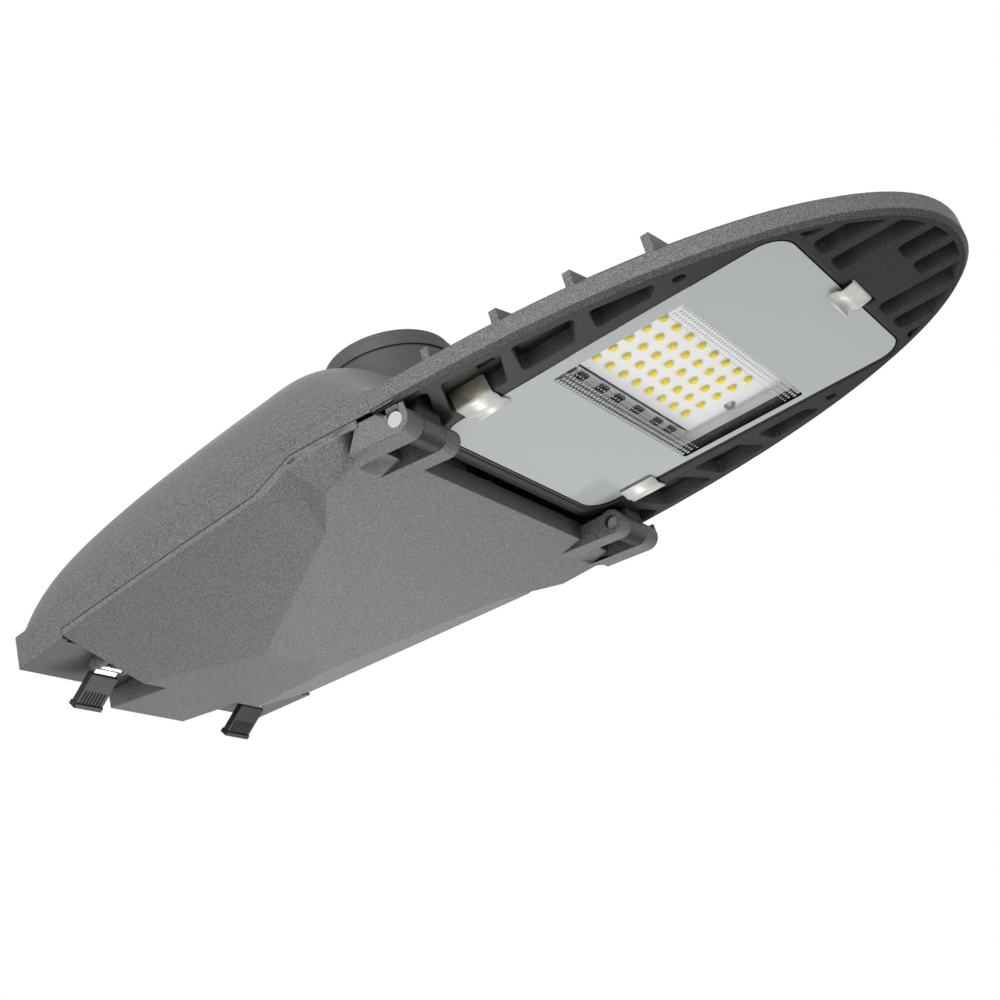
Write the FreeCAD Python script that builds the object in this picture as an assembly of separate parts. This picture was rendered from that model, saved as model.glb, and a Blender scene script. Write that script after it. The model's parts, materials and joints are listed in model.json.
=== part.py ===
"""Street light head with a die-cast body, a hinged driver cover and a flat glass over the LED board.

The frame: X runs from the pole socket's mouth to the tip, Z is up and Y is across. The origin is the
centre of the pole socket's mouth. Lengths are in millimetres.
"""
import FreeCAD, Part
import math
import os

V = FreeCAD.Vector

# Overall sizes
length = 548.5            # socket mouth to tip
widest = 254.0            # across the hinges
widest_x = 262.0          # where the body is widest
rear_width = 202.0        # across the rear face
nose_power = 2.12         # how square the nose is: 2 is an ellipse
rear_power = 1.3          # how early the sides draw in to the rear
rim_z = -28.0             # underside of the rim, below the socket's axis
band_height = 12.0        # height of the light band round the body
rim_chamfer = 2.5
wall = 4.0                # casting wall
gap = 0.4                 # between the cover and the housing
fit_gap = 0.3             # between separate curved pieces

# Pole socket and clamp
pole_d = 60.0
socket_clearance = 0.6
socket_depth = 96.0
socket_wall = 5.0
clamp_x = 68.0
clamp_length = 44.0
clamp_width = 106.0
clamp_top = -16.0         # below the socket's axis
clamp_bolt_d = 8.0
clamp_bolt_y = 44.0
clamp_lug_h = 12.0
clamp_head_h = 5.5
clamp_head_r = 7.5
clamp_thick = 6.0
clamp_gap = 2.0           # between the clamp's wings and the lugs

# Parting between housing and cover, above the rim plane
part_front = (282.0, 1.0)
part_bend_top = (229.0, 5.0)
part_bend_low = (201.0, -3.0)
part_rear_z = -2.0
lip_x = 41.0              # front edge of the housing's rear lip
lip_drop = 8.0            # underside of the lip, below the rim plane
tongue_width = 61.0       # cover's rear tongue between the latches
tongue_x = -3.5

# Driver cover: corners of its facets as (x, half y, z above the rim plane)
facet_a = (264.5, 124.0, -12.5)
facet_b = (238.0, 113.5, -16.6)
facet_c = (212.5, 85.0, -20.5)
facet_d = (115.0, 28.0, -35.7)
facet_e = (48.5, 47.0, -26.5)
edge_low = (209.0, 120.0, -8.5)
edge_high = (227.0, 126.0, -2.7)
cover_front_x = 273.0
cover_wall = 3.0

# Hinges
hinge_x = 294.0
hinge_drop = 9.5          # axis below the rim plane
barrel_r = 7.5
pin_d = 8.2
pin_running = 0.09
ear_inner = (82.0, 94.0)
lug_span = (94.3, 112.7)
ear_outer = (113.0, 126.5)
arm_x = 258.0             # where the arms run out in the cover's underside
arm_top_drop = 3.0
lug_web = 12.0
hinge_pocket = [(283.0, 87.0), (294.0, 87.0), (308.0, 113.0), (310.0, 119.0), (283.0, 119.0)]

# Latches
latch_y = 63.0
latch_width = 16.0
latch_pivot = (31.0, -12.5)
latch_tip = (9.0, -28.0)
latch_pin_d = 4.0
latch_strip = 1.2
latch_eye_r = 3.2
latch_lug = 4.0
latch_lug_r = 3.5
hook_width = 8.0
hook_top = -4.0           # above the rim plane
hook_room = (23.0, 34.0)  # slot for the hook in the housing's lip, along X
hook_slot_h = 6.0
grip_start = 7.0
grip_thick = 4.6
grip_end = 7.0

# Glass, gasket and the LED board
glass_x0 = 287.0
glass_x1 = 488.0
glass_width = 161.0
glass_corner = 15.0
glass_thick = 4.0
glass_recess = 0.8
gasket_side = 1.5
gasket_seat = 7.0
gasket_thick = 2.0
cavity_depth = 14.0
led_columns = 5
led_rows = 8
led_pitch_x = 10.0
led_pitch_y = 14.0
led_x = 390.6
led_size = 3.5
led_base_h = 0.8
board_length = 70.0
board_width = 140.0
board_x = 395.0
board_thick = 1.6
board_screw_d = 4.0
board_head_d = 7.0
led_lens_r = 1.6
led_lens_h = 1.0
board_screw_y = 66.0

# Underside slots and pockets of the nose and sides
slot_pitch = 21.0
slot_width = 15.0
slot_depth = 8.5
slot_x0 = 493.0
slot_short_x0 = 520.0
slot_margin = 5.5         # wall between the slots' ends and the outline
pocket_margin = 7.5
pocket_inner = 90.0
clip_window = (331.0, 341.0, 99.0, 104.0)
clip_thick = 1.0
clip_x = (308.0, 330.0)
clip_over_glass = 7.5
clip_foot = 103.0
clip_screw = (318.0, 98.0)
front_clip_y = (-11.0, 18.0)
front_clip_x = (479.0, 495.0)
front_clip_leg = 7.0
notch_gap = 0.4

# Cooling ribs on top
rib_thick = 4.4
rib_first_x = 318.0
rib_pitch = 38.6
rib_count = 4
rib_edge_h = 5.0
rib_crown = 14.0
plateau_h = 6.0

# Dome over the driver bay, heights above the rim plane
dome_rear = 68.0
dome_top = 96.0
dome_rise_run = 80.0
dome_fall_x = 215.0       # where the crown starts to roll down
dome_fall_power = 1.35
dome_foot = 14.0
dome_end_x = 295.0
dome_stations = 19
dome_set_in = 0.6         # dome's side inside the strip's face
strip_run = 15.0          # how fast the crease climbs from the rear face
arch_run = 20.0           # how fast the arch turns into an ellipse

# Photocell base on top
base_x = 224.4
base_d = 80.2
base_top = 107.9          # above the rim plane
base_seat = 97.0
base_foot = 45.0
base_cap_h = 2.4

# Driver bay
driver_length = 140.0
driver_width = 60.0
driver_height = 33.0
driver_x = 178.0          # middle of the driver
tray_length = 156.0
tray_width = 104.0
tray_z = 30.0             # underside of the tray above the rim plane
tray_thick = 2.0
post_r = 5.5
post_x = 67.0             # posts from the tray's middle, along X and Y
post_y = 43.0
terminal_length = 44.0
terminal_width = 14.0
terminal_height = 16.0
screw_d = 5.0
head_d = 9.0
head_h = 2.6


def up(z):
    """Height in the part's frame of a level given above the rim plane."""
    return rim_z + z


def half_width(x, inset=0.0):
    """Half width of the body's outline at a station along X."""
    half = widest / 2 - inset
    if x >= widest_x:
        t = min(1.0, (x - widest_x) / (length - inset - widest_x))
        return half * (1 - t ** nose_power) ** (1 / nose_power)
    t = (widest_x - x) / widest_x
    return half - (widest - rear_width) / 2 * t ** rear_power


def outline(inset, x_rear, z):
    """Closed face of the body's outline, drawn in by inset, with a straight rear edge."""
    reach = length - inset - widest_x
    half = widest / 2 - inset
    side = []
    start = math.pi / 2
    if x_rear < widest_x:
        stations = 5
        for i in range(stations):
            x = x_rear + (widest_x - x_rear) * i / stations
            side.append((x, half_width(x, inset)))
    else:
        start = math.acos(((x_rear - widest_x) / reach) ** (nose_power / 2))
    turns = 8
    for i in range(turns):
        a = start * (1 - i / turns)
        x = widest_x + reach * math.cos(a) ** (2 / nose_power)
        side.append((x, half * math.sin(a) ** (2 / nose_power)))
    points = [V(x, -y, z) for x, y in side]
    points.append(V(length - inset, 0, z))
    points += [V(x, y, z) for x, y in reversed(side)]
    curve = Part.BSplineCurve()
    curve.interpolate(points)
    back = Part.LineSegment(points[-1], points[0])
    return Part.Face(Part.Wire([curve.toShape(), back.toShape()]))


def box(x0, x1, y0, y1, z0, z1):
    return Part.makeBox(x1 - x0, y1 - y0, z1 - z0, V(x0, y0, z0))


def rod_y(x, z, y0, y1, r):
    return Part.makeCylinder(r, y1 - y0, V(x, y0, z), V(0, 1, 0))


def rod_z(x, y, z0, z1, r):
    return Part.makeCylinder(r, z1 - z0, V(x, y, z0), V(0, 0, 1))


def rod_x(x0, x1, y, z, r):
    return Part.makeCylinder(r, x1 - x0, V(x0, y, z), V(1, 0, 0))


def both(shape):
    """A piece and its mirror image across the middle plane."""
    return [shape, shape.mirror(V(0, 0, 0), V(0, 1, 0))]


def prism_xy(points, z0, z1, corner=0.0):
    """Upright prism over a plan polygon, with its upright edges rounded."""
    wire = Part.makePolygon([V(x, y, z0) for x, y in points + points[:1]])
    solid = Part.Face(wire).extrude(V(0, 0, z1 - z0))
    if corner:
        upright = [e for e in solid.Edges if abs(e.tangentAt(e.FirstParameter).z) > 0.99]
        solid = solid.makeFillet(corner, upright)
    return solid


def prism_xz(points, y0, y1):
    """Prism across the body over a side-view polygon."""
    wire = Part.makePolygon([V(x, y0, z) for x, z in points + points[:1]])
    return Part.Face(wire).extrude(V(0, y1 - y0, 0))


def rounded_plate(x0, x1, half_y, z0, z1, corner):
    return prism_xy([(x0, -half_y), (x1, -half_y), (x1, half_y), (x0, half_y)], z0, z1, corner)


def save(shape, name):
    shape.exportStep(os.path.join("parts", name + ".step"))


# Dome over the driver bay

def strip_top(x):
    """Height of the crease between the side strip and the dome."""
    return band_height * (1 - math.exp(-x / strip_run))


def crown(x):
    """Height of the dome's crown: it rises from the rear face and rolls down to the deck."""
    top = dome_top - (dome_top - dome_rear) * math.exp(-x / dome_rise_run)
    t = min(1.0, max(0.0, (x - dome_fall_x) / (dome_end_x - dome_fall_x)))
    return dome_foot + (top - dome_foot) * (1 - t * t) ** dome_fall_power


def dome_wire(x, inset, base, x_cut):
    """Arch-shaped section of the dome, drawn in by inset and closed at a base level."""
    half = half_width(x, inset + dome_set_in)
    edge = strip_top(x)
    rise = crown(x) - inset - edge
    power = 2.0 - 0.45 * math.exp(-x / arch_run)
    turns = 12
    points = []
    for i in range(turns + 1):
        a = math.pi * i / turns
        y = -half * math.copysign(abs(math.cos(a)) ** (2 / power), math.cos(a))
        points.append(V(x_cut, y, up(edge + rise * abs(math.sin(a)) ** (2 / power))))
    curve = Part.BSplineCurve()
    curve.interpolate(Points=points, Parameters=[i / turns for i in range(turns + 1)])
    foot = [V(x_cut, points[-1].y, base), V(x_cut, points[0].y, base)]
    lines = [Part.makeLine(points[-1], foot[0]), Part.makeLine(foot[0], foot[1]),
             Part.makeLine(foot[1], points[0])]
    return Part.Wire([curve.toShape()] + lines)


def dome(inset, x_start, base):
    """Loft through the dome's sections."""
    wires = []
    for i in range(dome_stations + 1):
        x = dome_end_x * i / dome_stations
        x_cut = x - inset if x > dome_fall_x else max(x, x_start)
        wires.append(dome_wire(x, inset, base, x_cut))
    return Part.makeLoft(wires, True, False)


# Parting surface

def parting_profile(shift=0.0):
    """Side-view line of the parting from the front to the rear, moved up by shift."""
    line = [(dome_end_x + 5, part_front[1]), part_front, part_bend_top, part_bend_low,
            (lip_x, part_rear_z), (-20.0, part_rear_z)]
    return [(x, up(z) + shift) for x, z in line]


def below_parting(shift, depth=80.0):
    """Everything under the parting line, out past the sides."""
    line = parting_profile(shift)
    floor = up(-depth)
    return prism_xz(line + [(line[-1][0], floor), (line[0][0], floor)], -widest, widest)


# Driver cover

def above(p, q, r, lift, side=1):
    """Solid above the plane through three points of the belly, on a chosen side of the lamp."""
    a, b, c = [V(t[0], side * t[1], up(t[2]) + lift) for t in (p, q, r)]
    n = (b - a).cross(c - a)
    corners = []
    for x, y in ((-60, -160), (length, -160), (length, 160), (-60, 160)):
        corners.append(V(x, y, a.z - (n.x * (x - a.x) + n.y * (y - a.y)) / n.z))
    return Part.Face(Part.makePolygon(corners + corners[:1])).extrude(V(0, 0, 400))


def belly(lift):
    """Solid above the cover's faceted underside, its facets moved up by lift."""
    a, b, c, d, e = facet_a, facet_b, facet_c, facet_d, facet_e
    step = ((edge_low[0] + edge_high[0]) / 2, (edge_low[1] + edge_high[1]) / 2,
            (edge_low[2] + edge_high[2]) / 2)
    solid = above(a, d, (d[0], 0.0, d[2]), lift)
    solid = solid.common(above(d, e, (d[0], 0.0, d[2]), lift))
    for side in (-1, 1):
        flank = above(c, d, edge_low, lift, side)
        shoulder = above(a, b, edge_high, lift, side).common(above(c, b, step, lift, side))
        solid = solid.common(flank.fuse(shoulder))
    return solid


def cover_block(inset):
    """Cover's outer form, or its hollow when drawn in by a wall."""
    prism = outline(inset, -30.0, up(-60)).extrude(V(0, 0, 90))
    block = belly(inset * 1.03).common(prism)
    block = block.common(below_parting(-gap if inset == 0 else 5.0))
    block = block.cut(box(cover_front_x - inset, length, -widest, widest, up(-60), up(40)))
    block = block.cut(box(-60, tongue_x + inset, -widest, widest, up(-60), up(40)))
    lip_front = lip_x + gap + inset
    lip_side = tongue_width / 2 - inset
    for y0, y1 in ((-widest, -lip_side), (lip_side, widest)):
        block = block.cut(box(-60, lip_front, y0, y1, up(-60), up(40)))
    tongue_top = up(-lip_drop) - gap
    if inset == 0:
        block = block.cut(box(-60, lip_front, -widest, widest, tongue_top, up(40)))
    return block


def driver_cover():
    body = cover_block(0.0).cut(cover_block(cover_wall))
    axis = (hinge_x, up(-hinge_drop))
    arm_top = up(-arm_top_drop)
    arm_root = up(facet_a[2]) - 0.155 * (facet_a[0] - arm_x)
    side = [(axis[0], axis[1] - barrel_r), (axis[0], arm_top), (arm_x, arm_top), (arm_x, arm_root)]
    arms = []
    for y0, y1 in (ear_inner, ear_outer):
        barrel = rod_y(axis[0], axis[1], y0, y1, barrel_r)
        arms.append(barrel.fuse(prism_xz(side, y0, y1)))
    for arm in arms:
        for piece in both(arm):
            body = body.fuse(piece)
    for bore in both(rod_y(axis[0], axis[1], ear_inner[0] - 1, ear_outer[1] + 1, pin_d / 2)):
        body = body.cut(bore)
    pivot = (latch_pivot[0], up(latch_pivot[1]))
    for y in (-latch_y, latch_y):
        for end in (-1, 1):
            inner = y + end * (latch_width / 2 + fit_gap)
            y0, y1 = sorted((inner, inner + end * latch_lug))
            lug = box(pivot[0], lip_x + gap + cover_wall, y0, y1,
                      pivot[1] - latch_lug_r, pivot[1] + latch_lug_r)
            lug = lug.fuse(rod_y(pivot[0], pivot[1], y0, y1, latch_lug_r))
            body = body.fuse(lug).cut(rod_y(pivot[0], pivot[1], y0 - 1, y1 + 1, latch_pin_d / 2))
    return body.removeSplitter()


def hinge_pin(side):
    y0, y1 = ear_inner[0] + 4.0, ear_outer[1]
    pin = rod_y(hinge_x, up(-hinge_drop), y0, y1, pin_d / 2)
    return pin if side > 0 else pin.mirror(V(0, 0, 0), V(0, 1, 0))


# Upper housing

def side_pockets():
    """Plan outlines of the underside pockets beside the glass, on the +Y side."""
    inner = pocket_inner

    def outer(x):
        return half_width(x) - pocket_margin

    clip = [(305.0, inner), (339.0, inner), (351.0, outer(351.0)), (318.0, outer(318.0))]
    second = [(349.0, inner), (379.0, inner), (390.0, outer(390.0)), (357.0, outer(357.0))]
    third = [(392.0, inner), (422.0, inner), (430.0, outer(430.0)), (397.0, outer(397.0))]
    fourth = [(435.0, inner - 1), (462.0, inner - 1), (450.0, outer(450.0)), (435.0, outer(440.0))]
    return [clip, second, third, fourth]


def nose_slots():
    """Underside slots of the nose on the +Y side, ending a wall short of the outline."""
    limit = outline(slot_margin, slot_x0 - 5, rim_z - 1).extrude(V(0, 0, slot_depth + 1))
    slots = []
    for i in range(4):
        y = slot_pitch * (i + 0.5)
        x0 = slot_short_x0 if i == 0 else slot_x0
        slot = box(x0, length, y - slot_width / 2, y + slot_width / 2, rim_z - 1, up(slot_depth))
        rear = [e for e in slot.Edges
                if abs(e.tangentAt(0).z) > 0.99 and e.BoundBox.XMax < x0 + 1]
        slots.append(slot.makeFillet(4.0, rear).common(limit))
    return slots


def upper_housing():
    bottom, top = rim_z, up(band_height)
    front = outline(0.0, part_front[0], bottom).extrude(V(0, 0, band_height))
    low_edges = []
    for edge in front.Edges:
        bounds = edge.BoundBox
        if bounds.ZMax < bottom + 0.01 and bounds.XLength > 10:
            low_edges.append(edge)
    front = front.makeChamfer(rim_chamfer, low_edges)
    rear = outline(0.0, 0.0, up(-10)).extrude(V(0, 0, 10 + band_height))
    rear = rear.cut(box(part_front[0], length + 1, -widest, widest, up(-20), up(30)))
    under = below_parting(0.0).cut(box(-60, lip_x, -widest, widest, up(-lip_drop), 0))
    shell = dome(0.0, 0.0, up(-lip_drop)).cut(under)
    body = rear.cut(under).fuse(shell).fuse(front)

    plateau = outline(9.0, part_front[0], top - 1).extrude(V(0, 0, plateau_h + 1))
    body = body.fuse(plateau)
    crown_z = top + plateau_h + rib_crown
    crown_r = ((widest / 2) ** 2 + rib_crown ** 2) / (2 * rib_crown)
    crown = rod_x(200, length + 10, 0, crown_z - crown_r, crown_r)
    ribs = []
    for i in range(rib_count):
        x = rib_first_x + i * rib_pitch
        half = half_width(x) - 0.8
        low = box(x - rib_thick / 2, x + rib_thick / 2, -half, half, top - 1, crown_z + 1)
        arch = low.common(crown)
        step = box(x - rib_thick / 2, x + rib_thick / 2, -half, half, top - 1, top + rib_edge_h)
        ribs.append(arch.fuse(step))
    body = body.fuse(ribs)

    seat = rod_z(base_x, 0, up(base_foot), up(base_seat), base_d / 2 - 1.0)
    body = body.fuse(seat)

    bay = dome(wall, wall + 2.0, up(-12))
    bay_floor = outline(wall, wall + 2.0, up(-14)).extrude(V(0, 0, 14 + band_height - 1))
    bay_floor = bay_floor.cut(box(part_front[0] - wall, length, -widest, widest, up(-30), up(40)))
    bay = bay.cut(box(part_front[0] - wall, length, -widest, widest, up(-30), up(90)))
    bay_all = bay.fuse(bay_floor)
    lip = box(0, lip_x - 2, -widest, widest, up(-30), up(part_rear_z) + wall)
    body = body.cut(bay_all.cut(lip))

    tube_r = pole_d / 2 + socket_clearance / 2 + socket_wall
    tube = rod_x(0, socket_depth, 0, 0, tube_r)
    body = body.fuse(tube)
    body = body.cut(rod_x(-1, socket_depth + 1, 0, 0, pole_d / 2 + socket_clearance / 2))
    window = box(clamp_x - clamp_length / 2 - 2, clamp_x + clamp_length / 2 + 2,
                 -clamp_width / 2 - 1, clamp_width / 2 + 1, up(-40), -pole_d / 4)
    body = body.cut(window)

    glass_half = glass_width / 2 + gasket_side
    recess = rounded_plate(glass_x0 - gasket_side, glass_x1 + gasket_side, glass_half,
                           bottom - 1, up(glass_recess + glass_thick + gasket_thick),
                           glass_corner + gasket_side)
    cavity = rounded_plate(glass_x0 + gasket_seat, glass_x1 - gasket_seat,
                           glass_width / 2 - gasket_seat, bottom, up(cavity_depth),
                           glass_corner - 4)
    body = body.cut(recess).cut(cavity)
    for points in side_pockets():
        pocket = prism_xy(points, bottom - 1, up(slot_depth), 2.5)
        for piece in both(pocket):
            body = body.cut(piece)
    for slot in nose_slots():
        for piece in both(slot):
            body = body.cut(piece)
    body = add_hinge_lugs(body)
    body = cut_clip_seats(body)
    body = add_inner_posts(body)
    for y in (-latch_y, latch_y):
        half = hook_width / 2 + 2 * gap
        body = body.cut(box(hook_room[0], hook_room[1], y - half, y + half,
                            up(-lip_drop) - 1, up(-lip_drop) + hook_slot_h))
    return body.removeSplitter()


def add_hinge_lugs(body):
    """Hinge pockets with the housing's middle knuckles hanging from them."""
    axis_z = up(-hinge_drop)
    pocket = prism_xy(hinge_pocket, rim_z - 1, up(slot_depth), 2.5)
    knuckle = rod_y(hinge_x, axis_z, lug_span[0], lug_span[1], barrel_r)
    web = box(hinge_x - lug_web / 2, hinge_x + lug_web / 2, lug_span[0], lug_span[1],
              axis_z, up(slot_depth) + 1)
    bore = rod_y(hinge_x, axis_z, lug_span[0] - 1, lug_span[1] + 1, pin_d / 2 + pin_running)
    for piece in both(pocket):
        body = body.cut(piece)
    for piece in both(knuckle.fuse(web)):
        body = body.fuse(piece)
    for piece in both(bore):
        body = body.cut(piece)
    return body


def cut_clip_seats(body):
    """Notches where the spring clips cross the rim, with the side windows beside them."""
    deep = up(glass_recess) + notch_gap
    edge = glass_width / 2
    side = box(clip_x[0] - notch_gap, clip_x[1] + notch_gap, edge, pocket_inner + 4, rim_z - 1, deep)
    window = box(clip_window[0], clip_window[1], clip_window[2], clip_window[3],
                 rim_z, up(band_height + plateau_h + 2))
    for piece in both(side) + both(window):
        body = body.cut(piece)
    x0, x1 = front_clip_x
    y0, y1 = front_clip_y
    front = box(x0, x1 + notch_gap, y0 - notch_gap, y1 + notch_gap, rim_z - 1, deep)
    leg = box(x1 - clip_thick - notch_gap, x1 + notch_gap, y0 - notch_gap, y1 + notch_gap,
              rim_z - 1, up(front_clip_leg) + notch_gap)
    return body.cut(front).cut(leg)


def post_places():
    return [(driver_x + i * post_x, j * post_y) for i in (-1, 1) for j in (-1, 1)]


def add_inner_posts(body):
    """Posts for the driver tray, hanging from the dome, and lugs for the pole clamp's bolts."""
    tray_top = up(tray_z + tray_thick)
    inside = dome(wall / 2, wall, up(-12))
    posts = [rod_z(x, y, tray_top, up(100), post_r).common(inside) for x, y in post_places()]
    body = body.fuse(posts)
    for x, y in post_places():
        body = body.cut(rod_z(x, y, tray_top - 1, tray_top + 12, screw_d / 2))
    lug_x0 = clamp_x - clamp_length / 2
    lug_x1 = clamp_x + clamp_length / 2
    lug = box(lug_x0, lug_x1, pole_d / 2 + socket_clearance / 2 + 1, clamp_width / 2,
              clamp_top + clamp_gap, clamp_top + clamp_gap + clamp_lug_h)
    bore = rod_z(clamp_x, clamp_bolt_y, clamp_top, clamp_top + 30, clamp_bolt_d / 2)
    for piece in both(lug):
        body = body.fuse(piece)
    for piece in both(bore):
        body = body.cut(piece)
    return body.cut(rod_x(-1, socket_depth + 1, 0, 0, pole_d / 2 + socket_clearance / 2))


# Pole clamp

def pole_clamp():
    x0 = clamp_x - clamp_length / 2
    low = -pole_d / 2 - socket_clearance - clamp_thick
    saddle = box(x0, x0 + clamp_length, -pole_d / 2 - 1, pole_d / 2 + 1, low, clamp_top)
    wings = box(x0, x0 + clamp_length, -clamp_width / 2, clamp_width / 2,
                clamp_top - clamp_thick, clamp_top)
    clamp = saddle.fuse(wings)
    clamp = clamp.cut(rod_x(x0 - 1, x0 + clamp_length + 1, 0, 0, pole_d / 2 + fit_gap))
    for y in (-clamp_bolt_y, clamp_bolt_y):
        clamp = clamp.cut(rod_z(clamp_x, y, low - 1, clamp_top + 1, clamp_bolt_d / 2 + 0.5))
    return clamp.removeSplitter()


def clamp_bolts():
    bolts = []
    head_z = clamp_top - clamp_thick
    for y in (-clamp_bolt_y, clamp_bolt_y):
        shank = rod_z(clamp_x, y, head_z, clamp_top + clamp_gap + clamp_lug_h, clamp_bolt_d / 2)
        hexagon = []
        for i in range(6):
            a = math.pi / 3 * i
            hexagon.append((clamp_x + clamp_head_r * math.cos(a), y + clamp_head_r * math.sin(a)))
        head = prism_xy(hexagon, head_z - clamp_head_h, head_z)
        bolts.append(shank.fuse(head))
    return Part.makeCompound(bolts)


# Latches

def latch_frame(shape, y):
    """Turns a latch piece drawn along -X round the pivot to the handle's slope."""
    dx = latch_pivot[0] - latch_tip[0]
    dz = latch_pivot[1] - latch_tip[1]
    slope = -math.degrees(math.atan2(dz, dx))
    shape.translate(V(latch_pivot[0], y, up(latch_pivot[1])))
    shape.rotate(V(latch_pivot[0], 0, up(latch_pivot[1])), V(0, 1, 0), slope)
    return shape


def latch_reach():
    return math.hypot(latch_pivot[0] - latch_tip[0], latch_pivot[1] - latch_tip[1])


def latch(y):
    """Spring strip with its eye round the pin, and the hook that stands in the lip's slot."""
    half = latch_width / 2
    strip = box(-latch_reach() + 2, 0, -half, half, -latch_strip / 2, latch_strip / 2)
    strip = latch_frame(strip, y)
    x, z = latch_pivot[0], up(latch_pivot[1])
    eye = rod_y(x, z, y - half, y + half, latch_eye_r)
    hook = box(x - latch_strip / 2, x + latch_strip / 2, y - hook_width / 2, y + hook_width / 2,
               z, up(hook_top))
    body = strip.fuse([eye, hook])
    return body.cut(rod_y(x, z, y - half - 1, y + half + 1, latch_pin_d / 2 + pin_running))


def latch_grip(y):
    """Moulded sleeve on the strip, ribbed on its lower half and thick at its end."""
    half = latch_width / 2 + 1.0
    reach = latch_reach()
    thin = grip_thick / 2
    sleeve = box(-reach, -grip_start, -half, half, -thin, thin)
    end = rod_y(-reach, 0, -half, half, grip_end / 2)
    ribs = []
    for i in range(4):
        x = -reach + grip_end / 2 + 1.5 + i * 2.6
        ribs.append(box(x, x + 1.2, -half, half, -thin - 0.7, thin + 0.7))
    sleeve = sleeve.fuse([end] + ribs)
    room = box(-reach + 2, 0, -latch_width / 2, latch_width / 2, -latch_strip / 2, latch_strip / 2)
    return latch_frame(sleeve.cut(room), y)


def latch_pin(y):
    half = latch_width / 2 + fit_gap + latch_lug
    return rod_y(latch_pivot[0], up(latch_pivot[1]), y - half, y + half, latch_pin_d / 2)


# Photocell base

def photocell_base():
    low = up(base_seat)
    body = rod_z(base_x, 0, low, up(base_top - base_cap_h), base_d / 2)
    return body.makeChamfer(1.5, [body.Edges[0]])


def photocell_cap():
    body = rod_z(base_x, 0, up(base_top - base_cap_h), up(base_top), base_d / 2 - 2.0)
    return body


# Glass and LED board

def glass_plate(grow, z0, z1):
    return rounded_plate(glass_x0 - grow, glass_x1 + grow, glass_width / 2 + grow,
                         up(z0), up(z1), glass_corner + grow)


def cavity_plate(z0, z1):
    return rounded_plate(glass_x0 + gasket_seat, glass_x1 - gasket_seat,
                         glass_width / 2 - gasket_seat, up(z0), up(z1), glass_corner - 4)


def glass_lens():
    return glass_plate(0.0, glass_recess, glass_recess + glass_thick)


def glass_gasket():
    """Seal round the glass's edge and over its top, cut away where the clips cross it."""
    top = glass_recess + glass_thick
    ring = glass_plate(gasket_side, glass_recess, top + gasket_thick)
    ring = ring.cut(glass_plate(0.0, glass_recess - 1, top))
    ring = ring.cut(cavity_plate(top - 1, top + gasket_thick + 1))
    deep = up(glass_recess) + notch_gap
    for piece in both(box(clip_x[0] - notch_gap, clip_x[1] + notch_gap, glass_width / 2, widest,
                          rim_z, deep)):
        ring = ring.cut(piece)
    return ring.cut(box(glass_x1, length, front_clip_y[0] - notch_gap, front_clip_y[1] + notch_gap,
                        rim_z, deep))


def led_places():
    places = []
    for i in range(led_columns):
        for j in range(led_rows):
            x = led_x + (i - (led_columns - 1) / 2) * led_pitch_x
            places.append((x, (j - (led_rows - 1) / 2) * led_pitch_y))
    return places


def screw_places():
    return [(led_x, side * board_screw_y) for side in (-1, 1)]


def led_board():
    x0 = board_x - board_length / 2
    board = rounded_plate(x0, x0 + board_length, board_width / 2,
                          up(cavity_depth - board_thick), up(cavity_depth), 4.0)
    for x, y in screw_places():
        board = board.cut(rod_z(x, y, up(0), up(cavity_depth + 1), board_screw_d / 2))
    return board


def led_chips():
    chips = []
    face = up(cavity_depth - board_thick)
    half = led_size / 2
    for x, y in led_places():
        base = box(x - half, x + half, y - half, y + half, face - led_base_h, face)
        lens = Part.makeCone(led_lens_r, led_lens_r * 0.6, led_lens_h,
                             V(x, y, face - led_base_h), V(0, 0, -1))
        chips.append(base.fuse(lens))
    return Part.makeCompound(chips)


def screw(x, y, z, shank, diameter, head):
    """Screw driven upwards, with its round head under the level z."""
    rise = head_h * head / head_d
    cap = Part.makeCone(head / 2, head * 0.36, rise, V(x, y, z), V(0, 0, -1))
    return cap.fuse(rod_z(x, y, z, z + shank, diameter / 2))


def board_screw_set():
    face = up(cavity_depth - board_thick)
    screws = [screw(x, y, face, board_thick, board_screw_d, board_head_d) for x, y in screw_places()]
    return Part.makeCompound(screws)


# Spring clips

def side_clip(side):
    """Bent spring: tongue under the glass, leg up the rim and foot on the pocket's ceiling."""
    x0, x1 = clip_x
    z0 = up(glass_recess) - clip_thick
    inner = glass_width / 2 - clip_over_glass
    leg_y = pocket_inner + 0.5
    tongue = box(x0, x1, inner, leg_y + clip_thick, z0, z0 + clip_thick)
    leg = box(x0, x1, leg_y, leg_y + clip_thick, z0, up(slot_depth))
    foot = box(x0 + 3, x0 + 17, leg_y, clip_foot, up(slot_depth) - clip_thick, up(slot_depth))
    clip = tongue.fuse([leg, foot])
    hole = rod_z(clip_screw[0], clip_screw[1], up(0), up(slot_depth + 1), board_screw_d / 2)
    clip = clip.cut(hole).removeSplitter()
    return clip if side > 0 else clip.mirror(V(0, 0, 0), V(0, 1, 0))


def front_clip():
    x0, x1 = front_clip_x
    y0, y1 = front_clip_y
    z0 = up(glass_recess) - clip_thick
    tongue = box(x0, x1, y0, y1, z0, z0 + clip_thick)
    leg = box(x1 - clip_thick, x1, y0, y1, z0, up(front_clip_leg))
    return tongue.fuse(leg).removeSplitter()


def clip_screws():
    face = up(slot_depth) - clip_thick
    screws = []
    for y in (-clip_screw[1], clip_screw[1]):
        screws.append(screw(clip_screw[0], y, face, clip_thick, board_screw_d, board_head_d))
    return Part.makeCompound(screws)


# Driver bay

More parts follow.
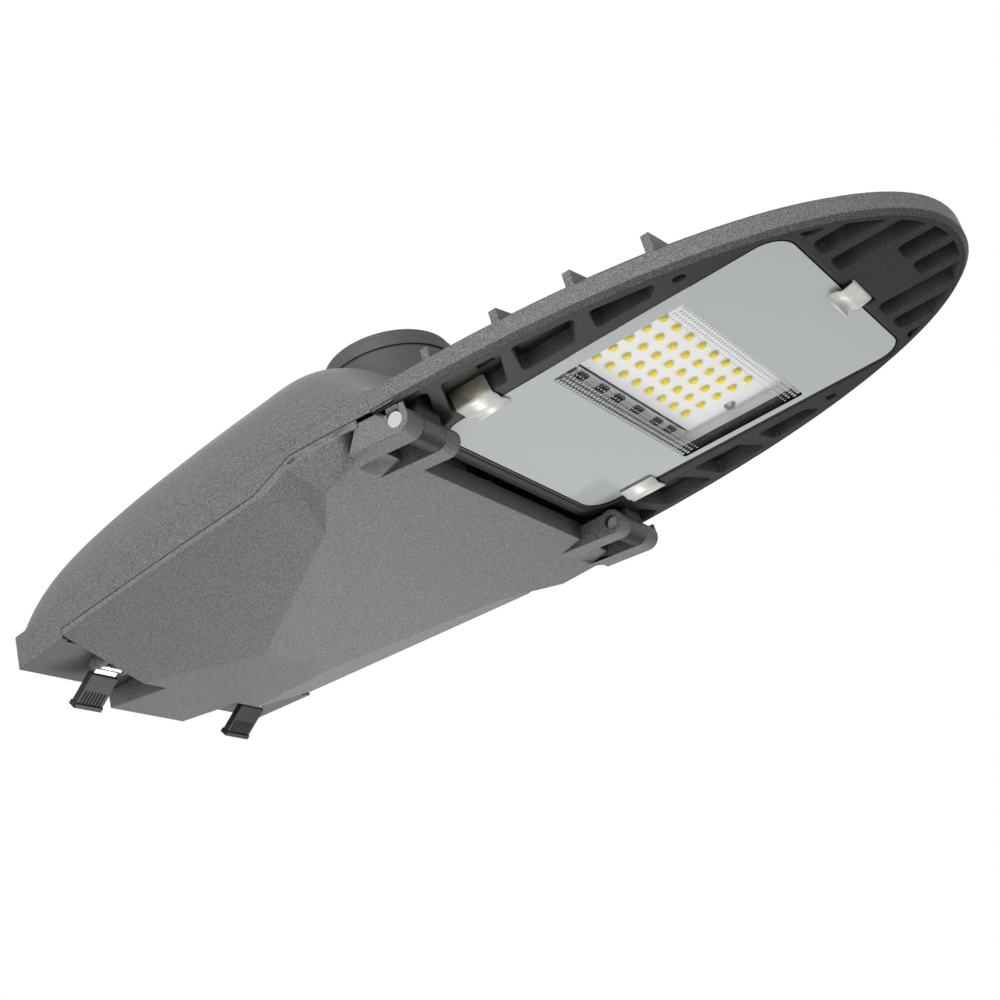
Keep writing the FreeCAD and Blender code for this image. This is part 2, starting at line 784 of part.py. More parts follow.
def driver_tray():
    x0 = driver_x - tray_length / 2
    half = tray_width / 2
    tray = prism_xy([(x0, -half), (x0 + tray_length, -half), (x0 + tray_length, half), (x0, half)],
                    up(tray_z), up(tray_z + tray_thick), 6.0)
    for x, y in post_places():
        tray = tray.cut(rod_z(x, y, up(tray_z) - 1, up(tray_z + tray_thick) + 1, screw_d / 2))
    return tray


def tray_screws():
    depth = tray_thick + 12 - 1
    screws = [screw(x, y, up(tray_z), depth, screw_d, head_d) for x, y in post_places()]
    return Part.makeCompound(screws)


def led_driver():
    x0 = driver_x - driver_length / 2
    body = box(x0 + 8, x0 + driver_length - 8, -driver_width / 2, driver_width / 2,
               up(tray_z - driver_height), up(tray_z))
    along = [e for e in body.Edges if e.BoundBox.XLength > 1]
    body = body.makeChamfer(2.0, along)
    ears = box(x0, x0 + driver_length, -driver_width / 4, driver_width / 4,
               up(tray_z) - 2.5, up(tray_z))
    return body.fuse(ears).removeSplitter()


def terminal_block():
    x0 = driver_x - tray_length / 2 + 20
    y0 = driver_width / 2 + 4
    body = box(x0, x0 + terminal_length, y0, y0 + terminal_width,
               up(tray_z - terminal_height), up(tray_z))
    pitch = terminal_length / 4
    for i in range(4):
        x = x0 + (i + 0.5) * pitch
        body = body.cut(rod_z(x, y0 + terminal_width / 2, up(tray_z - terminal_height) - 1,
                              up(tray_z - terminal_height) + 7, 2.6))
    return body


def main():
    os.makedirs("parts", exist_ok=True)
    save(upper_housing(), "upper_housing")
    save(driver_cover(), "driver_cover")
    save(photocell_base(), "photocell_base")
    save(photocell_cap(), "photocell_cap")
    save(glass_lens(), "glass_lens")
    save(glass_gasket(), "glass_gasket")
    save(led_board(), "led_board")
    save(led_chips(), "led_chips")
    save(board_screw_set(), "board_screws")
    save(clip_screws(), "clip_screws")
    save(front_clip(), "spring_clip_front")
    save(pole_clamp(), "pole_clamp")
    save(clamp_bolts(), "clamp_bolts")
    save(driver_tray(), "driver_tray")
    save(tray_screws(), "tray_screws")
    save(led_driver(), "led_driver")
    save(terminal_block(), "terminal_block")
    for side, word in ((-1, "near"), (1, "far")):
        save(side_clip(side), "spring_clip_" + word)
        save(hinge_pin(side), "hinge_pin_" + word)
        save(latch(side * latch_y), "latch_" + word)
        save(latch_grip(side * latch_y), "latch_grip_" + word)
        save(latch_pin(side * latch_y), "latch_pin_" + word)


main()
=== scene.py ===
# %% [markdown]
# # Street light head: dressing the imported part
# The CAD solids carry the shape. This script gives them their finishes, prints the border on the
# glass and puts the optics over the LEDs. It also makes the cover's facets, the bent clips and the
# latch sleeves, which the solids show more plainly, and sets the light and the camera.
# Lengths are in metres in the part's frame: X towards the tip, Z up, origin at the pole socket.

# %%
import json
import math
import bmesh
import bpy
from mathutils import Matrix, Vector


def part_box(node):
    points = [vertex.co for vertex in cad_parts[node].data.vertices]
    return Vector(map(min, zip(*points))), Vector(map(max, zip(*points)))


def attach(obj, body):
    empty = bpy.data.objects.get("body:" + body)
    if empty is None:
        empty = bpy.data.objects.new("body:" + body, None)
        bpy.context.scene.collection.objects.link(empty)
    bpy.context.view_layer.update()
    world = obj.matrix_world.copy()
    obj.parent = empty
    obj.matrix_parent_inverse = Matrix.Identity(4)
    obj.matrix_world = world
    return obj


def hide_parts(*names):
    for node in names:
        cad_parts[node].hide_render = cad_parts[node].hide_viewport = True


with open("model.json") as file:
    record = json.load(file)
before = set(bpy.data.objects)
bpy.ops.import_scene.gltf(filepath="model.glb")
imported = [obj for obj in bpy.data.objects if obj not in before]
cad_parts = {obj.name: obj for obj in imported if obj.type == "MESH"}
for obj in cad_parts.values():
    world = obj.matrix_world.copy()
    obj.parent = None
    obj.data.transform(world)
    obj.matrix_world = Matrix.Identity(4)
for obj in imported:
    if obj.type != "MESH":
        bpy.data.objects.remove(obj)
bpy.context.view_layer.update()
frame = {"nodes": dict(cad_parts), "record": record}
nodes = frame["nodes"]
MM = 0.001

# %% [markdown]
# ## Finishes
# The housing and the cover have a dark grey powder coat with a fine grain. Grain comes from a small
# noise bump, so the light breaks up on it the way it does on a sprayed casting.


# %%
def bsdf_inputs(mat):
    return mat.node_tree.nodes["Principled BSDF"].inputs


def surface(name, roughness, metallic=0.0):
    mat = bpy.data.materials.new(name)
    mat.use_nodes = True
    bsdf_inputs(mat)["Roughness"].default_value = roughness
    bsdf_inputs(mat)["Metallic"].default_value = metallic
    return mat


def plain(name, colour, roughness, metallic=0.0):
    mat = surface(name, roughness, metallic)
    bsdf_inputs(mat)["Base Color"].default_value = (*colour, 1)
    return mat


def clear(name, colour, roughness, ior, alpha):
    """Clear glass or plastic: a low alpha lets the light through to what lies behind it."""
    mat = plain(name, colour, roughness)
    bsdf_inputs(mat)["IOR"].default_value = ior
    bsdf_inputs(mat)["Transmission Weight"].default_value = 1.0
    bsdf_inputs(mat)["Alpha"].default_value = alpha
    return mat


def grained(name, dark, light, roughness, grain_mm, depth_mm, metallic=0.0, strength=0.5,
            edge_mm=0.0):
    """A finish whose colour wanders between two greys, with a fine raised grain and soft edges."""
    mat = surface(name, roughness, metallic)
    tree, links = mat.node_tree.nodes, mat.node_tree.links
    coords = tree.new("ShaderNodeTexCoord")
    noise = tree.new("ShaderNodeTexNoise")
    noise.inputs["Scale"].default_value = 1.0 / (grain_mm * MM)
    noise.inputs["Detail"].default_value = 2.0
    links.new(coords.outputs["Object"], noise.inputs["Vector"])
    ramp = tree.new("ShaderNodeValToRGB")
    for element, position, colour in zip(ramp.color_ramp.elements, (0.35, 0.65), (dark, light)):
        element.position = position
        element.color = (*colour, 1)
    links.new(noise.outputs["Fac"], ramp.inputs["Fac"])
    links.new(ramp.outputs["Color"], bsdf_inputs(mat)["Base Color"])
    bump = tree.new("ShaderNodeBump")
    bump.inputs["Strength"].default_value = strength
    bump.inputs["Distance"].default_value = depth_mm * MM
    links.new(noise.outputs["Fac"], bump.inputs["Height"])
    if edge_mm:
        edge = tree.new("ShaderNodeBevel")
        edge.samples = 4
        edge.inputs["Radius"].default_value = edge_mm * MM
        links.new(edge.outputs["Normal"], bump.inputs["Normal"])
    links.new(bump.outputs["Normal"], bsdf_inputs(mat)["Normal"])
    return mat


def grey(value):
    return (value, value, value * 1.01)


finish = {
    "housing_paint": grained("housing_coat", grey(0.062), grey(0.205), 0.50, 0.6, 0.22, edge_mm=1.0),
    "cover_paint": grained("cover_coat", grey(0.078), grey(0.232), 0.50, 0.6, 0.30, edge_mm=1.2),
    "steel": grained("spring_steel", (0.40, 0.39, 0.36), (0.50, 0.49, 0.45), 0.30, 6.0, 0.01,
                     metallic=1.0, strength=0.05),
    "dark_plastic": grained("black_plastic", grey(0.018), grey(0.024), 0.38, 0.8, 0.03),
    "light_plastic": plain("pale_plastic", (0.55, 0.55, 0.50), 0.5),
    "black_rubber": plain("black_seal", (0.012, 0.012, 0.012), 0.55),
    "white_board": plain("white_mask", (0.90, 0.91, 0.92), 0.35),
    "yellow_phosphor": plain("phosphor", (1.0, 0.80, 0.0), 0.30),
    "bare_casting": grained("bare_casting", grey(0.32), grey(0.40), 0.45, 1.2, 0.05, metallic=0.9),
    "sheet_steel": plain("zinc_sheet", (0.58, 0.60, 0.62), 0.35, metallic=1.0),
    "driver_case": plain("driver_case", (0.62, 0.63, 0.64), 0.40, metallic=1.0),
    "clear_glass": clear("clear_glass", (0.97, 0.985, 0.98), 0.0, 1.45, 0.06),
}
boss_light = grey(0.090)
boss_coat = grained("boss_coat", grey(0.035), boss_light, 0.55, 0.6, 0.15, edge_mm=1.0)
pin_steel = plain("pin_steel", (0.44, 0.44, 0.43), 0.50)
matt_shine = 0.2
for name in ("housing_paint", "cover_paint", "dark_plastic"):
    bsdf_inputs(finish[name])["Specular IOR Level"].default_value = matt_shine

slots = {row["node"]: row["material_slot"] for row in frame["record"]["subparts"]}


def dress(node, mat):
    piece = nodes[node]
    if not piece.material_slots:
        piece.data.materials.append(mat)
    for slot in piece.material_slots:
        slot.link = "OBJECT"
        slot.material = mat


for node, slot_name in slots.items():
    dress(node, finish[slot_name])
for node in ("photocell_base", "photocell_cap"):
    dress(node, boss_coat)
for node in ("hinge_pin_near", "hinge_pin_far"):
    dress(node, pin_steel)

# %% [markdown]
# ## Darker places on the paint
# Three masks darken the coat: one for the photocell's seat, one of painted shade for the rim's
# underside and one of painted shade for recesses. Each is laid over the one before it.


# %%
def maths(tree, links, operation, first, second):
    """The result of a maths node. Its values are sockets or plain numbers."""
    node = tree.new("ShaderNodeMath")
    node.operation = operation
    for socket, value in zip(node.inputs, (first, second)):
        if isinstance(value, float):
            socket.default_value = value
        else:
            links.new(value, socket)
    return node.outputs["Value"]


def span(tree, links, value, low, high, start=0.0, end=1.0):
    """start where the value is at low, end where it is at high."""
    reach = tree.new("ShaderNodeMapRange")
    for name, number in (("From Min", low), ("From Max", high), ("To Min", start), ("To Max", end)):
        reach.inputs[name].default_value = number
    links.new(value, reach.inputs["Value"])
    return reach.outputs["Result"]


def axes(tree, links, space):
    """The x, y and z outputs of a point or of a surface's direction."""
    coords = tree.new("ShaderNodeTexCoord")
    parts = tree.new("ShaderNodeSeparateXYZ")
    links.new(coords.outputs[space], parts.inputs["Vector"])
    return parts.outputs


def tint(mat, mask, colour, blend):
    """Blends a colour into the coat where the mask is 1."""
    tree, links = mat.node_tree.nodes, mat.node_tree.links
    base = bsdf_inputs(mat)["Base Color"]
    coat = base.links[0].from_socket
    mix = tree.new("ShaderNodeMix")
    mix.data_type = "RGBA"
    mix.blend_type = blend
    links.new(mask, mix.inputs["Factor"])
    links.new(coat, mix.inputs["A"])
    mix.inputs["B"].default_value = (*colour, 1)
    links.new(mix.outputs["Result"], base)


# %% [markdown]
# The round seat under the photocell base is part of the casting but has the base's dark coat.
# Its mask finds what is near the base's axis and above the dome's shoulder.

# %%
base_low, base_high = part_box("photocell_base")
base_centre = (base_low + base_high) / 2
seat_reach = (base_high.x - base_low.x) / 2 + 0.3 * MM
seat_floor = base_low.z - 55.0 * MM


def darken_seat(mat):
    tree, links = mat.node_tree.nodes, mat.node_tree.links
    point = axes(tree, links, "Object")
    flat = tree.new("ShaderNodeCombineXYZ")
    links.new(point["X"], flat.inputs["X"])
    links.new(point["Y"], flat.inputs["Y"])
    away = tree.new("ShaderNodeVectorMath")
    away.operation = "DISTANCE"
    away.inputs[1].default_value = (base_centre.x, base_centre.y, 0)
    links.new(flat.outputs["Vector"], away.inputs[0])
    near_axis = maths(tree, links, "LESS_THAN", away.outputs["Value"], seat_reach)
    high = maths(tree, links, "GREATER_THAN", point["Z"], seat_floor)
    tint(mat, maths(tree, links, "MULTIPLY", near_axis, high), boss_light, "MIX")


darken_seat(finish["housing_paint"])

# %% [markdown]
# The rim's underside is much darker than the sides, and this is painted shade: its mask finds
# faces that look down, ahead of the rear lip, and takes the coat from its middle grey to a dark one.

# %%
coat_middle = 0.137
# the dark grey of the painted shade under the rim
underside_shade_grey = grey(0.024)
under_from, under_full = 0.10, 0.24
down_from, down_full = -0.5, -0.9


def paint_underside_shade(mat):
    tree, links = mat.node_tree.nodes, mat.node_tree.links
    down = span(tree, links, axes(tree, links, "Normal")["Z"], down_from, down_full)
    ahead = span(tree, links, axes(tree, links, "Object")["X"], under_from, under_full)
    mask = maths(tree, links, "MULTIPLY", down, ahead)
    tint(mat, mask, [v / coat_middle for v in underside_shade_grey], "MULTIPLY")


paint_underside_shade(finish["housing_paint"])

# %% [markdown]
# Slots, pockets and seams are deep and dark. This is painted shade: the coat is darkened where a
# surface is closed in by others.

# %%
recess_reach = 16.0 * MM
# how dark the painted shade gets in the deepest recesses
recess_shade_level = 0.22
closed_in, open_air = 0.25, 0.85


def paint_recess_shade(mat):
    tree, links = mat.node_tree.nodes, mat.node_tree.links
    base = bsdf_inputs(mat)["Base Color"]
    coat = base.links[0].from_socket
    closed = tree.new("ShaderNodeAmbientOcclusion")
    closed.samples = 6
    closed.inputs["Distance"].default_value = recess_reach
    level = span(tree, links, closed.outputs["AO"], closed_in, open_air, recess_shade_level, 1.0)
    shade = tree.new("ShaderNodeVectorMath")
    shade.operation = "SCALE"
    links.new(coat, shade.inputs[0])
    links.new(level, shade.inputs["Scale"])
    links.new(shade.outputs["Vector"], base)


for name in ("housing_paint", "cover_paint"):
    paint_recess_shade(finish[name])

# %% [markdown]
# ## The glass print
# A grey border is printed on the glass round a clear window over the LEDs. Along the window's
# front and rear the print breaks up into rows of dots.

# %%
glass_low, glass_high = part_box("glass_lens")
print_z = glass_low.z - 0.02 * MM
led_low, led_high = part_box("led_chips")
led_centre = Vector(((led_low.x + led_high.x) / 2, 0, led_low.z))
window_x = (led_centre.x - 37.6 * MM, led_centre.x + 38.4 * MM)
window_y = (-69.0 * MM, 74.0 * MM)
window_corner = 2 * MM
border_corner = 14.6 * MM
border_inset = 0.9 * MM
dot_pitch = 3.0 * MM
dot_rows = 4
first_dot_inset = 0.9 * MM
dot_radius, dot_shrink = 1.25, 0.22    # in mm, and how much smaller each row is


def new_piece(name, bm, mat, smooth=False):
    mesh = bpy.data.meshes.new(name)
    bm.to_mesh(mesh)
    bm.free()
    for face in mesh.polygons:
        face.use_smooth = smooth
    piece = bpy.data.objects.new(name, mesh)
    piece.data.materials.append(mat)
    bpy.context.scene.collection.objects.link(piece)
    return piece


def rounded_loop(x0, x1, y0, y1, r, steps=8):
    """Points of a rounded rectangle, anticlockwise seen from above."""
    points = []
    corners = ((x1 - r, y1 - r, 0), (x0 + r, y1 - r, 90), (x0 + r, y0 + r, 180),
               (x1 - r, y0 + r, 270))
    for cx, cy, start in corners:
        for i in range(steps + 1):
            a = math.radians(start + 90 * i / steps)
            points.append((cx + r * math.cos(a), cy + r * math.sin(a)))
    return points


print_grey = plain("print_grey", (0.465, 0.485, 0.49), 0.16)
bsdf_inputs(print_grey)["Coat Weight"].default_value = 0.5
bsdf_inputs(print_grey)["Coat Roughness"].default_value = 0.03

bm = bmesh.new()
outer = rounded_loop(glass_low.x + border_inset, glass_high.x - border_inset,
                     glass_low.y + border_inset, glass_high.y - border_inset, border_corner)
inner = rounded_loop(*window_x, *window_y, window_corner)
outer_verts = [bm.verts.new((x, y, print_z)) for x, y in outer]
inner_verts = [bm.verts.new((x, y, print_z)) for x, y in inner]
for i in range(len(outer_verts)):
    j = (i + 1) % len(outer_verts)
    bm.faces.new((outer_verts[i], inner_verts[i], inner_verts[j], outer_verts[j]))
border = new_piece("glass_print", bm, print_grey)
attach(border, "housing")

bm = bmesh.new()
columns = int((window_y[1] - window_y[0]) / dot_pitch) - 1
for row in range(dot_rows):
    radius = (dot_radius - dot_shrink * row) * MM
    inset = first_dot_inset + row * dot_pitch
    for x in (window_x[0] + inset, window_x[1] - inset):
        for column in range(columns):
            y = window_y[0] + dot_pitch * (column + 1 + 0.5 * (row % 2))
            where = Matrix.Translation((x, y, print_z))
            bmesh.ops.create_circle(bm, cap_ends=True, segments=8, radius=radius, matrix=where)
dots = new_piece("glass_print_dots", bm, print_grey)
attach(dots, "housing")

# %% [markdown]
# ## Clear optics over the LEDs
# Each LED has a small clear dome. The dome bends the yellow disc under it and catches a
# highlight on the side of the lamp. The board's face cuts the domes off.

# %%
led_columns, led_rows = 5, 8
led_pitch = (10.0 * MM, 14.0 * MM)
board_low, board_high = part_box("led_board")
board_face = board_low.z
led_places = [(led_centre.x + (i - (led_columns - 1) / 2) * led_pitch[0],
               (j - (led_rows - 1) / 2) * led_pitch[1])
              for i in range(led_columns) for j in range(led_rows)]
clear_plastic = clear("clear_optic", (1.0, 1.0, 1.0), 0.04, 1.40, 0.10)
dome_shape = Matrix.Diagonal((*(Vector((3.4, 4.0, 2.2)) * MM), 1))
dome_centre_z = board_face + 0.3 * MM
dome_cut_z = board_face - 0.05 * MM

bm = bmesh.new()
for x, y in led_places:
    place = Matrix.Translation((x, y, dome_centre_z))
    made = bmesh.ops.create_uvsphere(bm, u_segments=20, v_segments=12, radius=1,
                                     matrix=place @ dome_shape)
    for vert in made["verts"]:
        if vert.co.z > dome_cut_z:
            vert.co.z = dome_cut_z
optics = new_piece("led_optics", bm, clear_plastic, smooth=True)
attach(optics, "housing")

# %% [markdown]
# Under each dome lies a round yellow phosphor, wider than the package that the solid shows.

# %%
disc_radius = 2.5 * MM
disc_taper = 0.8
disc_low = led_low.z - 0.03 * MM

bm = bmesh.new()
for x, y in led_places:
    bmesh.ops.create_cone(bm, cap_ends=True, segments=24, radius1=disc_radius * disc_taper,
                          radius2=disc_radius, depth=board_face - disc_low,
                          matrix=Matrix.Translation((x, y, (disc_low + board_face) / 2)))
discs = new_piece("led_phosphors", bm, finish["yellow_phosphor"])
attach(discs, "housing")

# %% [markdown]
# Behind the LEDs the board carries dark driver parts in a strip, which the glass's dots cross.
# A pale backing lies round the board and up the far side wall, just inside the cavity.

# %%
strip_x = (board_low.x - 9.0 * MM, board_low.x + 1.5 * MM)
strip_top = board_face + 0.8 * MM
backing_x = (window_x[0] - 12 * MM, window_x[1] + 3 * MM)
backing_y = 73.3 * MM
backing_z = (board_face + 0.4 * MM, board_face + 1.0 * MM)
wall_inner_y = backing_y - 0.5 * MM
wall_low = glass_high.z + 2.2 * MM
part_places = (-53.0, -40.0, -19.0, -2.0, 19.0, 41.0, 57.0)
part_size = (5.2 * MM, 7.5 * MM, 1.1 * MM)
part_sink = 0.1 * MM


def add_box(bm, low, high):
    centre = (Vector(low) + Vector(high)) / 2
    size = Vector(high) - Vector(low)
    bmesh.ops.create_cube(bm, size=1,
                          matrix=Matrix.Translation(centre) @ Matrix.Diagonal((*size, 1)))


bm = bmesh.new()
add_box(bm, (strip_x[0], board_low.y, board_face), (strip_x[1], board_high.y, strip_top))
add_box(bm, (backing_x[0], -backing_y, backing_z[0]), (backing_x[1], backing_y, backing_z[1]))
add_box(bm, (backing_x[0], wall_inner_y, wall_low), (backing_x[1], backing_y, backing_z[1]))
strip = new_piece("board_strip", bm, plain("strip_grey", (0.74, 0.75, 0.755), 0.5))

bm = bmesh.new()
x = (strip_x[0] + strip_x[1]) / 2
for place in part_places:
    y = place * MM
    add_box(bm, (x - part_size[0] / 2, y - part_size[1] / 2, board_face - part_size[2]),
            (x + part_size[0] / 2, y + part_size[1] / 2, board_face + part_sink))
parts = new_piece("board_parts", bm, plain("chip_black", (0.012, 0.012, 0.013), 0.35))
for piece, slot_name in ((strip, "white_board"), (parts, "dark_plastic")):
    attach(piece, "housing")

# %% [markdown]
# ## The cover's facets
# The photograph shows a wide flank, a small raised step and a shoulder on each side of the cover.
# The solid's facets are flatter, so a copy of it is cut along the right creases and its skin is
# moved up or down to the right planes. Points are (x, half y, height above the rim), in mm.

# %%
rim_z = glass_low.z / MM - 0.8
facet_a, facet_b, facet_c = (264.5, 124.0, -12.5), (238.0, 113.5, -16.6), (212.5, 85.0, -20.5)
facet_d, facet_e = (115.0, 28.0, -35.7), (48.5, 47.0, -26.5)
solid_low, solid_high = (209.0, 120.0, -8.5), (227.0, 126.0, -2.7)
edge_low, edge_high, edge_front = (209.0, 120.0, -8.5), (225.8, 125.0, -1.7), (276.1, 126.8, -3.4)
solid_step = tuple((a + b) / 2 for a, b in zip(solid_low, solid_high))
middle_d = (facet_d[0], 0.0, facet_d[2])
skin = 3.09               # height of the inner skin above the outer one
arm_from = 258.0          # rear end of the outer hinge arms in the solid
arm_half_y = 112.5        # the arms lie further out than this
arm_split = 12.0          # depth below the rim that parts an arm's foot from its top
arm_root = (264.0, -14.1) # where they start here, behind the shoulder's crease
arm_top_x = 271.0
on_skin = 0.02            # a point this near to a skin is on it
merge_gap = 0.002         # points of neighbouring faces closer than this are one
crease_turn, edge_turn = 2, 28    # degrees: sharp between moved planes, and anywhere


def plane(p, q, r, side=1):
    """Slope along x, slope along y and level of the plane through three points."""
    a, b, c = [Vector((t[0], side * t[1], t[2])) for t in (p, q, r)]
    n = (b - a).cross(c - a)
    return -n.x / n.z, -n.y / n.z, a.z + (n.x * a.x + n.y * a.y) / n.z


def height(face, x, y):
    return face[0] * x + face[1] * y + face[2]


centre = [plane(facet_a, facet_d, middle_d), plane(facet_d, facet_e, middle_d)]
solid_sides, sides = [], []
for side in (-1, 1):
    solid_sides.append(([plane(facet_c, facet_d, solid_low, side)],
                        [plane(facet_a, facet_b, solid_high, side),
                         plane(facet_c, facet_b, solid_step, side)]))
    sides.append(([plane(facet_c, facet_d, edge_low, side),
                   plane(facet_c, edge_low, edge_high, side)],
                  [plane(facet_b, edge_high, edge_front, side),
                   plane(facet_c, facet_b, edge_high, side)]))


def belly(both_sides, x, y):
    """Height of the cover's skin: above the centre planes, and above the flank or the shoulder."""
    levels = [height(face, x, y) for face in centre]
    for flank, shoulder in both_sides:
        levels.append(min(max(height(f, x, y) for f in flank),
                          max(height(f, x, y) for f in shoulder)))
    return max(levels)


def cut_creases(bm, faces):
    """Cuts the mesh along the line where each two planes meet."""
    for i, one in enumerate(faces):
        for other in faces[i + 1:]:
            slope = Vector((one[0] - other[0], one[1] - other[1], 0))
            level = one[2] - other[2]
            if slope.length < 1e-6:
                continue
            point = -slope * level / slope.length_squared
            bmesh.ops.bisect_plane(bm, geom=bm.verts[:] + bm.edges[:] + bm.faces[:], dist=1e-7,
                                   plane_co=point * MM, plane_no=slope.normalized())


bm = bmesh.new()
bm.from_mesh(nodes["driver_cover"].data)
bmesh.ops.remove_doubles(bm, verts=bm.verts, dist=merge_gap * MM)
for flank, shoulder in sides:
    cut_creases(bm, centre + flank + shoulder)
moved = set()
for vert in bm.verts:
    x, y, z = vert.co / MM
    old = belly(solid_sides, x, y) + rim_z
    new = belly(sides, x, y) + rim_z
    root = abs(x - arm_from) < 0.05 and abs(y) > arm_half_y
    if root and z < rim_z - arm_split:
        vert.co.x, vert.co.z = arm_root[0] * MM, (rim_z + arm_root[1]) * MM
    elif abs(z - old) < on_skin:
        vert.co.z = new * MM
        moved.add(vert)
    elif abs(z - old - skin) < on_skin:
        vert.co.z = (new + skin) * MM
        moved.add(vert)
    elif new > old + on_skin and old < z < new + skin:
        vert.co.z = (new + skin) * MM
    if root and z > rim_z - arm_split:
        vert.co.x = arm_top_x * MM
for edge in bm.edges:
    turn = math.degrees(edge.calc_face_angle(0.0))
    crease = turn > crease_turn and edge.verts[0] in moved and edge.verts[1] in moved
    edge.smooth = not (crease or turn > edge_turn)
cover = new_piece("faceted_cover", bm, finish["cover_paint"], smooth=True)
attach(cover, "cover")
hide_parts("driver_cover")

# %% [markdown]
# ## Spring clips
# Each clip is one bent strip: a springy tongue on the glass, a leg up the pocket and a foot.
# Profiles are (distance across or along the lamp, height above the rim), in mm.

# %%
strip_thickness = 0.9 * MM
gold_from = 0.2           # the leg is golden above this height over the rim
side_profile = [(73.0, -0.7), (75.0, 0.1), (79.0, -0.2), (82.5, -1.6), (86.0, -0.7), (91.0, -0.7),
                (94.5, 8.2)]
side_width = (308.5, 330.0)
front_profile = [(480.5, -4.8), (480.5, -1.2), (484.5, -0.9), (487.0, -2.6), (494.5, -1.0),
                 (494.5, 6.0)]
front_width = (-11.0, 12.0)
clip_steel = grained("clip_steel", (0.66, 0.65, 0.61), (0.76, 0.75, 0.71), 0.45, 4.0, 0.01,
                     metallic=0.2, strength=0.05)
clip_gold = grained("clip_gold", (0.42, 0.40, 0.28), (0.58, 0.56, 0.42), 0.35, 6.0, 0.01,
                    metallic=0.3, strength=0.05)


def bend(points, radius=1.0, steps=4):
    """The profile with its corners rounded."""
    line = [points[0]]
    for before, corner, after in zip(points, points[1:], points[2:]):
        c = Vector(corner)
        back_to, on_to = (Vector(before) - c), (Vector(after) - c)
        r = min(radius, back_to.length / 2, on_to.length / 2)
        a, b = c + back_to.normalized() * r, c + on_to.normalized() * r
        for i in range(steps + 1):
            t = i / steps
            line.append(tuple(a * (1 - t) ** 2 + c * 2 * t * (1 - t) + b * t * t))
    return line + [points[-1]]


def bent_strip(name, profile, width, along_x, sign=1):
    """A strip of spring steel that follows a profile."""
    bm = bmesh.new()
    rows = []
    for distance, level in profile:
        z = (rim_z + level) * MM
        if along_x:
            ends = [(distance * MM, y * MM, z) for y in width]
        else:
            ends = [(x * MM, sign * distance * MM, z) for x in width]
        rows.append([bm.verts.new(e) for e in ends])
    for a, b in zip(rows, rows[1:]):
        bm.faces.new((a[0], a[1], b[1], b[0]))
    bmesh.ops.recalc_face_normals(bm, faces=bm.faces)
    piece = new_piece(name, bm, clip_steel, smooth=True)
    piece.data.materials.append(clip_gold)
    for face in piece.data.polygons:
        face.material_index = int(face.center.z > (rim_z + gold_from) * MM)
    wall = piece.modifiers.new("thickness", "SOLIDIFY")
    wall.thickness = strip_thickness
    wall.offset = 0.0
    return piece


for side, node in ((-1, "spring_clip_near"), (1, "spring_clip_far")):
    strip = bent_strip(node + "_strip", bend(side_profile), side_width, False, side)
    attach(strip, "housing")
    if side < 0:
        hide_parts(node, "clip_screws")
    else:
        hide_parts(node)
strip = bent_strip("spring_clip_front_strip", bend(front_profile), front_width, True)
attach(strip, "housing")
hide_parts("spring_clip_front")

# %% [markdown]
# ## Latch handles
# The handle on each latch is a smooth sleeve with fine ridges along its lower half and a thick
# bar across its end. Lengths along the handle count from the latch's pin, in mm.

# %%
pivot, tip = Vector((31.0, 0, rim_z - 12.5)), Vector((9.0, 0, rim_z - 28.0))
down = (tip - pivot).normalized()
outward = Vector((down.z, 0, -down.x))
handle_length = (tip - pivot).length
latch_y = 63.0
sleeve_from, sleeve_half_width, sleeve_half_thick = 6.0, 10.4, 2.0
bar_from, bar_to = handle_length - 1.5, handle_length + 1.6
bar_half_width, bar_half_thick = 10.6, 2.9
ridge_from = handle_length - 10.0
ridge_half_width, ridge_half_thick = 0.55, 2.5
ridge_count, ridge_pitch = 7, 2.4
edge_rounding = 0.5 * MM


def grip_block(bm, start, end, half_width, half_thick, y):
    """A box on the handle, from start to end along it and to both sides of its plane."""
    centre = pivot + down * (start + end) / 2 + Vector((0, y, 0))
    size = Vector((end - start, 2 * half_width, 2 * half_thick))
    turn = Matrix((down, (0, 1, 0), outward)).transposed().to_4x4()
    bmesh.ops.create_cube(bm, size=1, matrix=Matrix.Translation(centre * MM) @ turn
                          @ Matrix.Diagonal((*(size * MM), 1)))


for side, node in ((-1, "latch_grip_near"), (1, "latch_grip_far")):
    y = side * latch_y
    bm = bmesh.new()
    grip_block(bm, sleeve_from, handle_length + 1.0, sleeve_half_width, sleeve_half_thick, y)
    for i in range(ridge_count):
        ridge_y = y + (i - (ridge_count - 1) / 2) * ridge_pitch
        grip_block(bm, ridge_from, bar_from, ridge_half_width, ridge_half_thick, ridge_y)
    grip_block(bm, bar_from, bar_to, bar_half_width, bar_half_thick, y)
    grip = new_piece(node + "_sleeve", bm, finish["dark_plastic"])
    rounding = grip.modifiers.new("rounding", "BEVEL")
    rounding.width = edge_rounding
    rounding.segments = 2
    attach(grip, node.replace("grip", "handle"))
    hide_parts(node)

# %% [markdown]
# ## Light
# The world is an even white, which also makes the background. A large soft lamp lights the near
# side, a small one under the far side models the cover's facets, and a third fills the far side.

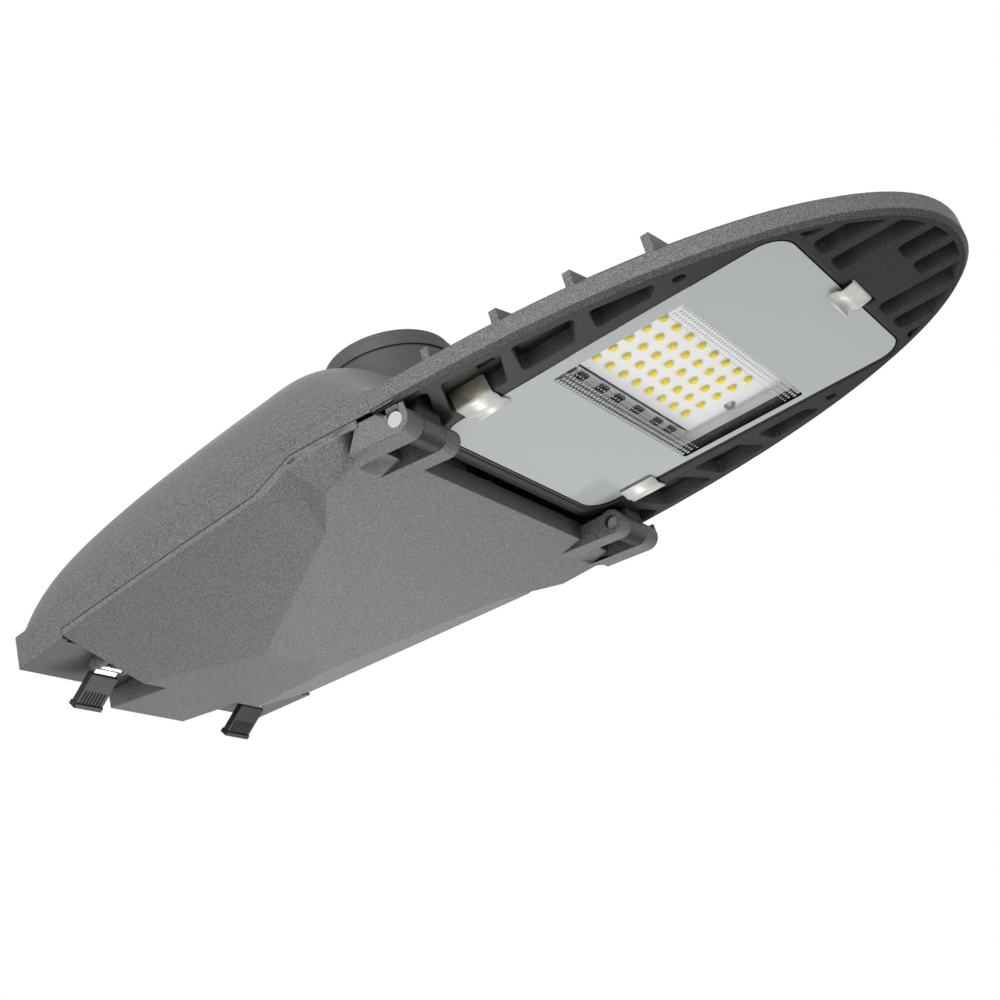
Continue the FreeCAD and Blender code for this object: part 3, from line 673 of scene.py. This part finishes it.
# %%
world_level = 0.34        # strength of the light that the white world gives
world = bpy.data.worlds.new("studio")
bpy.context.scene.world = world
world.use_nodes = True
tree, links = world.node_tree.nodes, world.node_tree.links
background = tree["Background"]
background.inputs["Color"].default_value = (1, 1, 1, 1)
path = tree.new("ShaderNodeLightPath")
seen = path.outputs["Is Camera Ray"]
for ray in ("Is Glossy Ray", "Is Transmission Ray"):
    seen = maths(tree, links, "MAXIMUM", seen, path.outputs[ray])
links.new(span(tree, links, seen, 0.0, 1.0, world_level, 1.0), background.inputs["Strength"])

middle = Vector((0.27, 0, 0))
floor_z = -0.62
floor_size = 4.0


def soft_lamp(name, place, size, power):
    light = bpy.data.lights.new(name, "AREA")
    light.shape = "RECTANGLE"
    light.size, light.size_y = size
    light.energy = power
    lamp = bpy.data.objects.new(name, light)
    lamp.location = place
    lamp.rotation_euler = (middle - Vector(place)).to_track_quat("-Z", "Y").to_euler()
    bpy.context.scene.collection.objects.link(lamp)


soft_lamp("key", (0.60, -1.8, 0.35), (1.2, 0.9), 31.0)
soft_lamp("under", (0.04, 0.32, -0.55), (0.3, 0.3), 2.5)
soft_lamp("fill", (-0.7, 1.5, 1.1), (1.2, 1.2), 9.0)

bm = bmesh.new()
bmesh.ops.create_grid(bm, x_segments=1, y_segments=1, size=floor_size,
                      matrix=Matrix.Translation((middle.x, 0, floor_z)))
floor = new_piece("floor", bm, plain("floor_paper", (0.85, 0.85, 0.85), 0.8))

# %% [markdown]
# ## Camera
# The photograph looks up at the lamp from below its near side, with the picture turned so that
# the lamp climbs to the right.

# %%
azimuth = math.radians(27.23)
elevation = math.radians(-25.77)
roll = math.radians(-16.2)
camera_place = Vector((628.9, -695.7, -412.1)) * MM
focal_px = 1593.0
image_px = 1000.0

data = bpy.data.cameras.new("camera")
data.sensor_width = 36.0
data.lens = data.sensor_width * focal_px / image_px
camera = bpy.data.objects.new("camera", data)
bpy.context.scene.collection.objects.link(camera)
bpy.context.scene.camera = camera
back = Vector((math.sin(azimuth) * math.cos(elevation), -math.cos(azimuth) * math.cos(elevation),
               math.sin(elevation)))
across = Vector((math.cos(azimuth), math.sin(azimuth), 0))
upright = back.cross(across)
right = across * math.cos(roll) + upright * math.sin(roll)
turn = Matrix((right, back.cross(right), back)).transposed()
camera.matrix_world = Matrix.Translation(camera_place) @ turn.to_4x4()

bpy.context.scene.view_settings.view_transform = "Standard"
